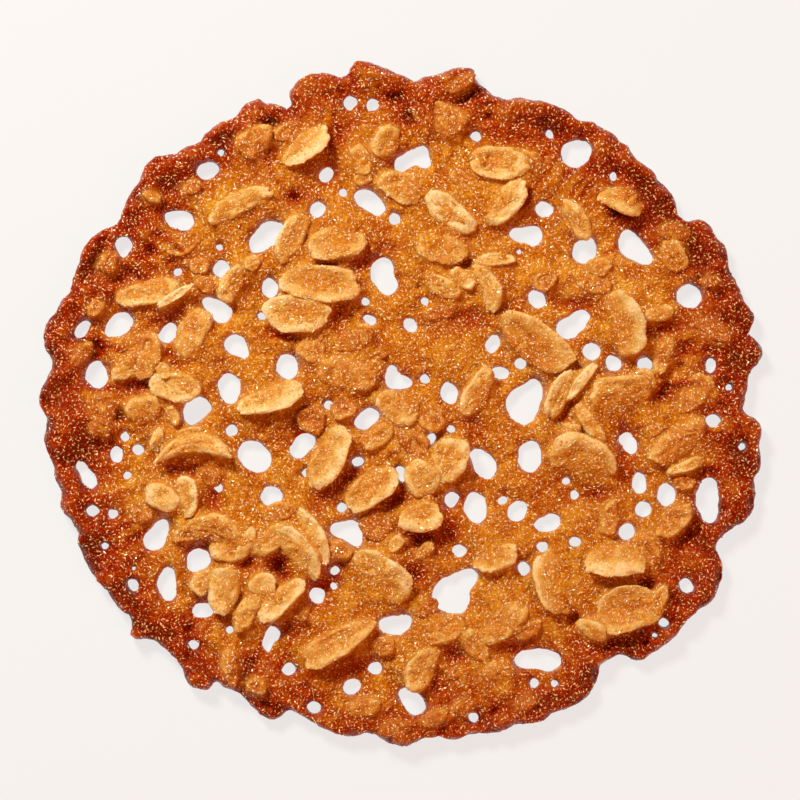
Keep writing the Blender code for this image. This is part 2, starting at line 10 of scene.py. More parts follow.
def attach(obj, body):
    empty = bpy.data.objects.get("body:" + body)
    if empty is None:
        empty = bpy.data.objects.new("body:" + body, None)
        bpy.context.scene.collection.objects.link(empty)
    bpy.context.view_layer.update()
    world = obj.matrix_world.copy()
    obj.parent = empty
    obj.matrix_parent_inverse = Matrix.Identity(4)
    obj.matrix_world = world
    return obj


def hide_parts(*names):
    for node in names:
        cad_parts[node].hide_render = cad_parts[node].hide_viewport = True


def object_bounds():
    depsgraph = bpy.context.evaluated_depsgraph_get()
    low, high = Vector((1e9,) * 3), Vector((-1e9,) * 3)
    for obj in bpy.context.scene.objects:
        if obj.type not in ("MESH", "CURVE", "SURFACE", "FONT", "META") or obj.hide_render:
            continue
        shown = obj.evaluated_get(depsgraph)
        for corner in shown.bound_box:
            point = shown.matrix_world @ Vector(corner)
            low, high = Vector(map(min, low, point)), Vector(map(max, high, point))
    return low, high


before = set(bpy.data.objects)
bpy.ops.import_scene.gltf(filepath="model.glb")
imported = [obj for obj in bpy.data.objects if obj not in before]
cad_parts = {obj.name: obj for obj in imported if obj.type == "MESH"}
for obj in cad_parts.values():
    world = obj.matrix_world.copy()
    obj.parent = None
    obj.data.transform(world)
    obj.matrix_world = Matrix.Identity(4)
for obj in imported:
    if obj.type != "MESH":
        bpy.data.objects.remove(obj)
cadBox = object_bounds()
mm = 0.001
rayHeight = 0.05  # rays that look down for a surface start this high, in metres
chance = np.random.default_rng(41)
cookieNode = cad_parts["cookie"]
print("frame loaded")


def linearColour(hexValue):
    parts = [int(hexValue[i:i + 2], 16) / 255 for i in (1, 3, 5)]
    return tuple(p / 12.92 if p < 0.04045 else ((p + 0.055) / 1.055) ** 2.4 for p in parts) + (1.0,)


def addNode(tree, kind, settings=None, links=None):
    node = tree.nodes.new(kind)
    for name, value in (settings or {}).items():
        if isinstance(name, int) or name in node.inputs:
            node.inputs[name].default_value = value
        else:
            setattr(node, name, value)
    for name, source in (links or {}).items():
        tree.links.new(source, node.inputs[name])
    return node


def lumps(tree, place, size, detail, roughness):  # a noise pattern with lumps about that many mm across
    settings = {"Scale": 1 / (size * mm), "Detail": detail, "Roughness": roughness}
    return addNode(tree, "ShaderNodeTexNoise", settings, {"Vector": place}).outputs["Fac"]


def centred(tree, pattern, gain):  # a pattern from 0 to 1 becomes a shift by as much as gain / 2 either way
    settings = {"operation": "MULTIPLY_ADD", 1: gain, 2: -gain / 2}
    return addNode(tree, "ShaderNodeMath", settings, {0: pattern}).outputs[0]


def added(tree, one, other):
    return addNode(tree, "ShaderNodeMath", {"operation": "ADD"}, {0: one, 1: other}).outputs[0]


def storedShare(tree, name):  # reads what storeShare wrote
    return addNode(tree, "ShaderNodeAttribute", {"attribute_name": name}).outputs["Fac"]


def newMaterial(name):
    material = bpy.data.materials.new(name)
    material.use_nodes = True
    return material, material.node_tree.nodes["Principled BSDF"]


def setRamp(node, stops):
    ramp = node.color_ramp
    while len(ramp.elements) < len(stops):
        ramp.elements.new(0.5)
    for element, (place, hexValue) in zip(ramp.elements, stops):
        element.position = place
        element.color = linearColour(hexValue)
    return node.outputs["Color"]


def newPiece(name, mesh, material, smooth=True):
    piece = bpy.data.objects.new(name, mesh)
    bpy.context.scene.collection.objects.link(piece)
    mesh.materials.clear()
    mesh.materials.append(material)
    if smooth:
        mesh.shade_smooth()
    else:
        mesh.shade_flat()
    return piece


def applyModifiers(piece):
    bpy.context.view_layer.update()
    evaluated = piece.evaluated_get(bpy.context.evaluated_depsgraph_get())
    finished = bpy.data.meshes.new_from_object(evaluated)
    piece.modifiers.clear()
    piece.data = finished
    return finished


def points(mesh):
    co = np.empty(len(mesh.vertices) * 3)
    mesh.vertices.foreach_get("co", co)
    return co.reshape(-1, 3)


def storeShare(mesh, name, values):
    layer = mesh.attributes.new(name, "FLOAT", "POINT")
    layer.data.foreach_set("value", np.ascontiguousarray(values, dtype=np.float32))


def smoothShare(values):  # 0 to 1, easing in and out
    eased = np.clip(values, 0.0, 1.0)
    return eased * eased * (3.0 - 2.0 * eased)


def waves(co, size, salt):  # smooth noise, -1 to 1, with lumps about that many mm apart
    step = 1.0 / (size * mm)
    return np.array([noise.noise((x * step + salt, y * step, z * step)) for x, y, z in co])


def turnShares(degrees):  # the cosine and sine of a turn
    return math.cos(math.radians(degrees)), math.sin(math.radians(degrees))


def treeOf(mesh):
    return BVHTree.FromPolygons([v.co for v in mesh.vertices], [p.vertices for p in mesh.polygons])


def lookDown(tree, x, y):
    return tree.ray_cast(Vector((x, y, rayHeight)), Vector((0, 0, -1)))


def faceShares(mesh, name, scale=1.0, shift=0.0):  # the stored share at each face's first corner
    values = np.empty(len(mesh.vertices), dtype=np.float32)
    mesh.attributes[name].data.foreach_get("value", values)
    return [float(values[p.vertices[0]]) * scale + shift for p in mesh.polygons]


# how far each point is inside the rim, from the CAD outline's reach in each direction
outline = points(cookieNode.data)
bearing = ((np.degrees(np.arctan2(outline[:, 1], outline[:, 0])) + 360) % 360).astype(int)
reach = np.array([np.hypot(*outline[bearing == d][:, :2].T).max(initial=0.04) for d in range(360)])


def rimGap(co):
    degrees = (np.degrees(np.arctan2(co[:, 1], co[:, 0])) + 360) % 360
    edge = np.interp(degrees, np.arange(-1, 361), np.concatenate([reach[-1:], reach, reach[:1]]))
    return (edge - np.hypot(co[:, 0], co[:, 1])) / mm


def bakedCaramelAndShade():
    # baked caramel, spread thin and set: a glassy amber that goes red-brown at the rim, with painted shade
    # in its pits and troughs and painted highlight on its crests and ridges
    look = {
        "amber": "#E0A42C", "honey": "#C87E0A", "rust": "#B25200", "ember": "#A22200", "burnt": "#720C00",
        "gold": "#F0B254", "toast": "#CE7C18", "glint": "#FFDCA8",
        "patch": 3.4, "speck": 0.30, "pebble": 0.55, "relief": 0.22, "depth": 1.8,  # mm
        "patchGain": 0.9, "speckGain": 1.0, "pebbleGain": -0.7,
    }
    material, shader = newMaterial("baked_caramel_lace_and_shade")
    tree = material.node_tree
    place = addNode(tree, "ShaderNodeTexCoord").outputs["Object"]
    patch = lumps(tree, place, look["patch"], 3.0, 0.6)
    speck = lumps(tree, place, look["speck"], 2.0, 0.7)
    shift = added(tree, centred(tree, patch, look["patchGain"]), centred(tree, speck, look["speckGain"]))
    # the browning share holds real rim browning and painted light: shade in pits and troughs, highlight on
    # crests and ridges
    darkness = added(tree, storedShare(tree, "browningAndShade"), shift)
    brownedAndShaded = setRamp(addNode(tree, "ShaderNodeValToRGB", None, {"Fac": darkness}), (
        (0.0, look["amber"]), (0.22, look["honey"]), (0.45, look["rust"]), (0.72, look["ember"]),
        (1.0, look["burnt"])))
    # where the caramel climbs over a flake it is a thin golden film
    golden = setRamp(addNode(tree, "ShaderNodeValToRGB", None, {"Fac": speck}), (
        (0.3, look["toast"]), (0.7, look["gold"])))
    film = storedShare(tree, "gold")
    mixed = addNode(tree, "ShaderNodeMix", {"data_type": "RGBA"}, {0: film, 6: brownedAndShaded, 7: golden})
    # sugar specks and the pebbled skin of the set bubbles
    pebbles = addNode(tree, "ShaderNodeTexVoronoi", {"Scale": 1 / (look["pebble"] * mm)}, {"Vector": place})
    relief = addNode(tree, "ShaderNodeMath", {"operation": "MULTIPLY_ADD", 1: look["pebbleGain"]},
                     {0: pebbles.outputs["Distance"], 2: speck}).outputs[0]
    bump = addNode(tree, "ShaderNodeBump", {"Strength": 1.0, "Distance": look["relief"] * mm},
                   {"Height": relief}).outputs[0]
    tree.links.new(mixed.outputs[2], shader.inputs["Base Color"])
    tree.links.new(bump, shader.inputs["Normal"])
    shader.inputs["Roughness"].default_value = 0.1
    shader.inputs["Specular Tint"].default_value = linearColour(look["glint"])
    shader.inputs["IOR"].default_value = 1.45
    shader.inputs["Subsurface Weight"].default_value = 0.45
    shader.inputs["Subsurface Radius"].default_value = (1.0, 0.36, 0.05)
    shader.inputs["Subsurface Scale"].default_value = look["depth"] * mm
    return material


def toastedOat():
    # rolled oat flakes, toasted and glazed with caramel: satin gold with pale thin edges and orange hollows
    look = {
        "pale": "#F8E4B8", "gold": "#E4BA64", "toast": "#D08A2A", "glaze": "#B86410",
        "patch": 2.4, "fibre": 0.42, "relief": 0.20, "depth": 0.9,  # mm; real fibres are finer still
        "patchGain": 0.5, "fibreGain": 0.6,
    }
    material, shader = newMaterial("toasted_rolled_oat")
    tree = material.node_tree
    place = addNode(tree, "ShaderNodeTexCoord").outputs["Object"]
    patch = lumps(tree, place, look["patch"], 3.0, 0.6)
    fibre = lumps(tree, place, look["fibre"], 3.0, 0.7)
    shift = added(tree, centred(tree, patch, look["patchGain"]), centred(tree, fibre, look["fibreGain"]))
    darkness = added(tree, storedShare(tree, "glaze"), shift)
    colour = setRamp(addNode(tree, "ShaderNodeValToRGB", None, {"Fac": darkness}), (
        (0.0, look["pale"]), (0.35, look["gold"]), (0.7, look["toast"]), (1.0, look["glaze"])))
    bump = addNode(tree, "ShaderNodeBump", {"Strength": 1.0, "Distance": look["relief"] * mm},
                   {"Height": fibre}).outputs[0]
    tree.links.new(colour, shader.inputs["Base Color"])
    tree.links.new(bump, shader.inputs["Normal"])
    shader.inputs["Roughness"].default_value = 0.24
    shader.inputs["IOR"].default_value = 1.45
    shader.inputs["Specular IOR Level"].default_value = 0.3
    shader.inputs["Subsurface Weight"].default_value = 0.25
    shader.inputs["Subsurface Radius"].default_value = (1.0, 0.5, 0.15)
    shader.inputs["Subsurface Scale"].default_value = look["depth"] * mm
    return material


def sugarCrystalAndGlint():
    # sugar crystallised on the crust: small glossy grains, stained by what they lie on (painted shade of the
    # lace included), a few almost white as painted glints
    look = {
        "clear": "#FFF8E2", "cream": "#FFE2A8", "straw": "#F8B040", "blush": "#EE9434",
        "amber": "#DE7C12", "rust": "#BA4600", "ember": "#841A00",
    }
    material, shader = newMaterial("crystallised_sugar_and_glints")
    tree = material.node_tree
    colour = setRamp(addNode(tree, "ShaderNodeValToRGB", None, {"Fac": storedShare(tree, "stainAndLight")}), (
        (0.0, look["clear"]), (0.14, look["cream"]), (0.28, look["straw"]), (0.42, look["blush"]),
        (0.52, look["amber"]), (0.72, look["rust"]), (1.0, look["ember"])))
    tree.links.new(colour, shader.inputs["Base Color"])
    shader.inputs["Roughness"].default_value = 0.1
    shader.inputs["IOR"].default_value = 1.54
    return material


# the lace is the CAD solid's own sheet, refined, with softer mounds, swells, pits and a beady rim
lacePlan = {
    "voxel": 0.40, "weld": 0.001, "underside": 0.05,  # mm: mesh spacing, and what counts as its underside
    "kept": 0.75,  # the share of the faces left once the flat underside is thinned
    "sheet": 2.25, "rimRise": 0.9, "rimWidth": 7.0, "liftFrom": 0.4, "liftOver": 1.0,  # mm
    "moundKeep": 0.32,  # how much of each of the solid's mounds stays under the flakes that take its place
    "swells": ((6.5, 0.26), (2.8, 0.38), (1.3, 0.34), (0.8, 0.18)),  # mm across, mm high
    "rimBeads": ((2.2, 0.65), (1.1, 0.40)), "beadWidth": 8,
    "fray": ((1.3, 0.20), (0.7, 0.10)),  # mm across, mm sideways
    "pitDeepening": 1.35, "pitFall": 1.7,  # a pit has about half its depth at its own outline
    # the swell and pit shares paint light into the colour: shade in troughs and pits, highlight on crests
    # and ridges
    "browningAndShade": 0.25, "rimBrowning": 0.5, "sideBrowning": 0.2, "swellShading": 0.25, "pitShading": 0.5,
    "brownFrom": 1.5, "brownWidth": 9,  # mm
    "brownWander": ((9, 3.0, 5), (3, 1.5, 9)),  # mm across, mm far, salt: the rim's uneven inner border
    "sideReach": 45, "sideMean": 0.5,  # mm from the middle, and the mean of the share round the rim
}

# pits and hollows of the lace: x, y, length, width, turn and depth in mm; a depth below 0 is a ridge. The
# depth also paints shade into each pit and highlight onto each ridge
lacePits = (
    (-34.5, 20.8, 1.9, 1.6, 0, 0.9), (-31.6, 19.6, 1.4, 1.2, 0, 0.6), (-41.9, 7.6, 2.2, 1.8, 60, 0.9),
    (-38.7, -1.7, 1.9, 1.6, 0, 1.0), (-13.6, 22.7, 1.6, 1.4, 0, 0.8), (-14.7, 28.4, 2.0, 1.6, 0, 0.9),
    (-0.8, 42.1, 2.2, 1.5, 0, 0.8), (1.2, 39.3, 1.6, 1.8, 0, 0.9), (16.8, 36.3, 2.2, 1.8, 0, 0.6),
    (39.2, 7.7, 2.2, 1.8, 0, 0.9), (36.1, 1.4, 3.2, 2.0, 20, 0.9), (1.6, -23.6, 2.6, 2.4, 0, 1.0),
    (-5.4, 3.2, 1.6, 1.2, -30, 0.8), (29.8, 26.4, 4.0, 1.4, -15, 0.9), (25.1, -4.0, 2.4, 1.4, -30, 0.9),
    (9.4, 42.4, 4.2, 2.0, 25, 0.8), (-9.9, 19.1, 2.6, 1.5, 0, 0.8), (8.7, 19.2, 2.8, 2.0, 40, 0.8),
    (-29.5, -9.3, 5.0, 1.8, -5, 1.0), (2.9, -18.6, 5.2, 2.2, 0, 1.0), (-16.7, -22.6, 4.4, 2.2, -60, 1.0),
    (-42.3, -5.9, 6.0, 2.2, 15, 0.7), (-21.6, -21.7, 2.8, 2.0, 30, 0.9), (7.9, -34.7, 3.4, 2.4, 0, 0.8),
    (33.4, -25.0, 2.4, 1.6, 0, 0.9), (-10.0, 31.2, 5.0, 2.4, 50, 0.5), (-9.0, 36.4, 5.0, 2.4, 50, 0.7),
    (-17.9, 38.3, 2.6, 1.8, 0, 0.8), (-32.0, 30.3, 3.4, 2.2, -40, 0.7), (-24.6, 36.2, 4.0, 2.2, 50, 0.5),
    (-42.6, 18.4, 4.5, 1.8, 70, 0.6), (-36.5, 17.6, 6.0, 1.6, 5, 0.6), (-40.4, 13.4, 3.6, 1.8, 30, 0.5),
    (-32.0, 11.6, 6.0, 1.8, 20, 0.5), (-32.0, 6.7, 2.4, 1.6, 0, 0.7), (-31.1, 5.2, 3.0, 1.0, 10, 0.8),
    (-36.4, 2.6, 4.5, 1.6, 5, 0.7), (-16.6, 9.4, 4.4, 1.6, -10, 0.8), (-8.9, 11.6, 2.4, 3.6, 20, 0.6),
    (-5.5, 19.2, 5.0, 2.0, 25, 0.5), (9.3, 11.6, 4.0, 2.0, -10, 0.7), (16.9, 28.4, 3.4, 1.6, 50, 0.7),
    (20.4, 38.4, 4.4, 2.2, -20, 0.6), (32.8, 30.6, 4.4, 2.0, -40, 0.6), (36.0, 26.4, 4.6, 2.4, -60, 0.7),
    (40.2, 20.6, 4.4, 2.4, -70, 0.7), (36.0, 10.3, 5.6, 1.8, 5, 0.7), (42.5, 6.2, 4.0, 2.0, 60, 0.5),
    (31.3, -4.0, 3.0, 2.4, -40, 0.5), (30.6, -8.6, 2.4, 4.6, 0, 0.6), (27.0, -12.6, 4.2, 2.2, 10, 0.6),
    (39.4, -18.2, 4.6, 3.2, 50, 0.7), (37.2, -23.4, 3.2, 5.0, 0, 0.6), (41.2, -9.6, 3.4, 1.6, 20, 0.6),
    (46.2, -6.0, 2.4, 4.4, 0, 0.4), (46.0, 6.2, 3.0, 2.2, 30, 0.6), (29.9, -33.2, 6.0, 1.8, 10, 0.7),
    (25.3, -38.2, 4.4, 2.4, 60, 0.6), (19.8, -41.2, 4.0, 1.8, 30, 0.5), (15.2, -33.6, 4.6, 1.6, 10, 0.6),
    (5.2, -39.2, 2.8, 3.6, 50, 0.5), (-7.4, -36.6, 5.6, 2.0, 20, 0.6), (-14.0, -31.0, 3.6, 2.8, 0, 0.5),
    (-22.2, -27.0, 1.6, 2.6, 0, 0.8), (-26.0, -13.4, 2.0, 4.0, 10, 0.6), (-26.4, -19.9, 5.0, 1.4, 5, 0.8),
    (-34.8, -31.0, 6.0, 2.0, -25, 0.6), (-37.8, -26.6, 3.4, 2.2, -40, 0.6),
    (-27.4, -36.0, 4.4, 3.0, 0, 0.5), (-20.8, -36.6, 2.2, 4.0, 0, 0.6),
    (-17.6, -41.8, 3.6, 1.6, -10, 0.5), (-43.0, -21.4, 3.0, 3.8, 0, 0.5),
    (-13.4, -3.6, 3.4, 2.2, 10, 0.5), (-6.3, -9.6, 2.0, 4.6, -20, 0.6), (-10.0, -12.4, 5.0, 2.2, 40, 0.6),
    (-1.4, -13.6, 6.0, 2.0, 35, 0.7), (7.4, -13.8, 5.0, 2.0, 10, 0.5), (6.6, -16.8, 2.2, 3.0, 0, 0.7),
    (-9.6, -22.8, 2.2, 4.0, 20, 0.6), (-12.0, -24.9, 3.2, 1.6, 0, 0.7), (10.2, -3.6, 3.4, 2.6, 0, 0.4),
    (22.8, -0.8, 1.4, 3.4, -30, 0.8), (23.6, 13.6, 6.0, 1.6, -5, 0.6), (15.4, 12.8, 3.0, 2.2, 30, 0.5),
    (-43.0, 16.3, 3.6, 1.6, 35, -0.5), (-33.6, 32.0, 4.0, 2.6, 30, -0.4),
    (-24.6, 37.8, 4.0, 2.0, 30, -0.3), (-46.6, 8.6, 2.4, 4.0, 10, -0.4), (-46.4, -3.4, 2.6, 4.6, 0, -0.3),
    (-13.0, 43.2, 4.4, 2.4, 10, -0.4), (-4.8, 43.8, 3.4, 3.0, 0, -0.3), (6.6, 43.0, 3.6, 1.8, 20, -0.4),
    (15.6, 40.4, 4.2, 2.0, 20, -0.4), (28.2, 35.2, 3.4, 2.4, -40, -0.4),
    (33.0, 32.6, 3.2, 2.0, -40, -0.3), (42.4, 13.6, 3.0, 2.6, 0, -0.3), (46.8, -3.0, 3.0, 3.6, 20, -0.4),
    (45.4, -12.6, 3.0, 4.4, 10, -0.4), (41.4, -21.8, 3.4, 2.4, 0, -0.3),
    (-36.6, -32.0, 2.6, 1.6, 30, -0.5), (-28.2, -38.6, 3.0, 2.2, 30, -0.4),
    (-45.4, -13.6, 2.4, 3.4, 0, -0.4), (-39.6, -24.2, 2.6, 2.6, 0, -0.3),
    (-9.8, -43.6, 4.6, 1.8, 10, -0.3), (25.6, -34.6, 3.0, 2.6, 30, -0.3), (0.6, -46.0, 5.0, 1.6, 0, -0.3),
    (-22.8, 31.2, 5.0, 2.0, 40, -0.3), (31.6, 15.6, 3.6, 2.4, 20, -0.2),
)


def pitDepth(co):  # how deep the pits and hollows reach at each point, in mm
    deep = np.zeros(len(co))
    fall = lacePlan["pitFall"]
    for x, y, length, width, turn, depth in lacePits:
        c, s = turnShares(turn)
        dx, dy = co[:, 0] / mm - x, co[:, 1] / mm - y
        along, across = dx * c + dy * s, dy * c - dx * s
        deep += depth * np.exp(-(along / length * fall) ** 2 - (across / width * fall) ** 2)
    return deep


def sheetTop(gap):  # the height of the lace's top in mm, which rises towards the rim
    return lacePlan["sheet"] + lacePlan["rimRise"] * (1 - smoothShare(gap / lacePlan["rimWidth"]))


def refineLace(material):
    mesh = cookieNode.data.copy()
    if "custom_normal" in mesh.attributes:
        mesh.attributes.remove(mesh.attributes["custom_normal"])
    body = bmesh.new()
    body.from_mesh(mesh)
    bmesh.ops.remove_doubles(body, verts=body.verts, dist=lacePlan["weld"] * mm)
    bmesh.ops.recalc_face_normals(body, faces=body.faces)
    body.to_mesh(mesh)
    body.free()
    lace = newPiece("lace", mesh, material)
    rounding = lace.modifiers.new("rounding", "SUBSURF")
    rounding.levels = rounding.render_levels = 1
    refining = lace.modifiers.new("refining", "REMESH")
    refining.mode = "VOXEL"
    refining.voxel_size = lacePlan["voxel"] * mm
    mesh = applyModifiers(lace)
    underside = lace.vertex_groups.new(name="underside")
    flat = [v.index for v in mesh.vertices if v.co.z < lacePlan["underside"] * mm]
    underside.add(flat, 1.0, "REPLACE")
    thinning = lace.modifiers.new("thinning", "DECIMATE")
    thinning.vertex_group = "underside"
    thinning.ratio = lacePlan["kept"]
    applyModifiers(lace)
    return lace


def buildLace(material):
    lace = refineLace(material)
    mesh = lace.data
    co = points(mesh)
    gap = rimGap(co)
    height = co[:, 2] / mm
    height -= (1 - lacePlan["moundKeep"]) * np.maximum(height - sheetTop(gap), 0)
    lifted = smoothShare((height - lacePlan["liftFrom"]) / lacePlan["liftOver"])  # the underside stays flat
    swell = sum(high * waves(co, size, salt=3 * size) for size, high in lacePlan["swells"])
    beads = sum(high * waves(co, size, salt=77 + size) for size, high in lacePlan["rimBeads"])
    swell += beads * (1 - smoothShare(gap / lacePlan["beadWidth"]))
    deep = pitDepth(co) * lacePlan["pitDeepening"]
    height += lifted * (swell - deep)
    co[:, 2] = np.maximum(height, 0) * mm
    for size, far in lacePlan["fray"]:
        co[:, :2] += np.stack([waves(co, size, salt=11), waves(co, size, salt=13)], axis=1) * far * mm
    mesh.vertices.foreach_set("co", co.ravel())

    inside = gap - lacePlan["brownFrom"]
    for size, far, salt in lacePlan["brownWander"]:
        inside = inside + far * waves(co, size, salt)
    rim = 1 - smoothShare(inside / lacePlan["brownWidth"])
    # the rim is browner at its two sides than at its top and bottom
    sideways = (co[:, 0] / (lacePlan["sideReach"] * mm)) ** 2 - lacePlan["sideMean"]
    browningAndShade = lacePlan["browningAndShade"] + (lacePlan["rimBrowning"] + lacePlan["sideBrowning"] * sideways) * rim
    # painted light: swell crests are painted paler as highlight, troughs browner as shade
    browningAndShade -= lacePlan["swellShading"] * swell
    # painted light: pits are painted darker as shade, ridges paler as highlight
    browningAndShade += lacePlan["pitShading"] * deep
    storeShare(mesh, "browningAndShade", browningAndShade)
    mesh.update()
    print("lace", len(mesh.polygons), "faces")
    return lace


drapePlan = {
    "lowest": 1.2, "reach": 1.5,  # mm: the least height that climbs, and the widest gap it closes
    "film": -0.16, "soak": 0.36, "patchFilm": 0.14, "patch": 1.6,  # mm: its height over a flake's top
    "wetTouch": 0.8, "fullTouch": 1.5,  # how near the flake is: 0 out of reach, 1 where the two meet
    "grip": 1.6, "most": 1.6, "smoothing": 6,  # how soon the climb is complete, its most in mm, and passes
    "goldFilm": 0.45, "counted": 0.02,  # mm climbed where the film is wholly golden, and where it is counted
}


def drapeLace(lace, flakeTree):  # the caramel climbs over each flake wherever the flake touches it
    mesh = lace.data
    co = points(mesh)
    raised = np.zeros(len(co))
    patches = waves(co, drapePlan["patch"], salt=31)
    for index, (x, y, z) in enumerate(co):
        if z < drapePlan["lowest"] * mm:
            continue
        under = flakeTree.ray_cast(Vector((x, y, 0)), Vector((0, 0, 1)))
        if not under[0]:
            continue
        touch = min(1 - (under[0].z - z) / (drapePlan["reach"] * mm), drapePlan["fullTouch"])
        if touch <= 0:
            continue
        film = drapePlan["film"] + drapePlan["soak"] * (touch - drapePlan["wetTouch"])
        film += drapePlan["patchFilm"] * patches[index]
        climb = lookDown(flakeTree, x, y)[0].z + film * mm - z
        if climb > 0:
            raised[index] = min(climb * min(touch * drapePlan["grip"], 1.0), drapePlan["most"] * mm)
    ends = np.empty(len(mesh.edges) * 2, dtype=np.int32)
    mesh.edges.foreach_get("vertices", ends)
    a, b = ends.reshape(-1, 2).T
    for sweep in range(drapePlan["smoothing"]):  # each point takes the mean of itself and its neighbours
        total, links = raised.copy(), np.ones(len(co))
        np.add.at(total, a, raised[b])
        np.add.at(total, b, raised[a])
        np.add.at(links, a, 1)
        np.add.at(links, b, 1)
        raised = total / links
    co[:, 2] += raised
    mesh.vertices.foreach_set("co", co.ravel())
    storeShare(mesh, "gold", smoothShare(raised / (drapePlan["goldFilm"] * mm)))
    mesh.update()
    print("lace draped over", int((raised > drapePlan["counted"] * mm).sum()), "points")


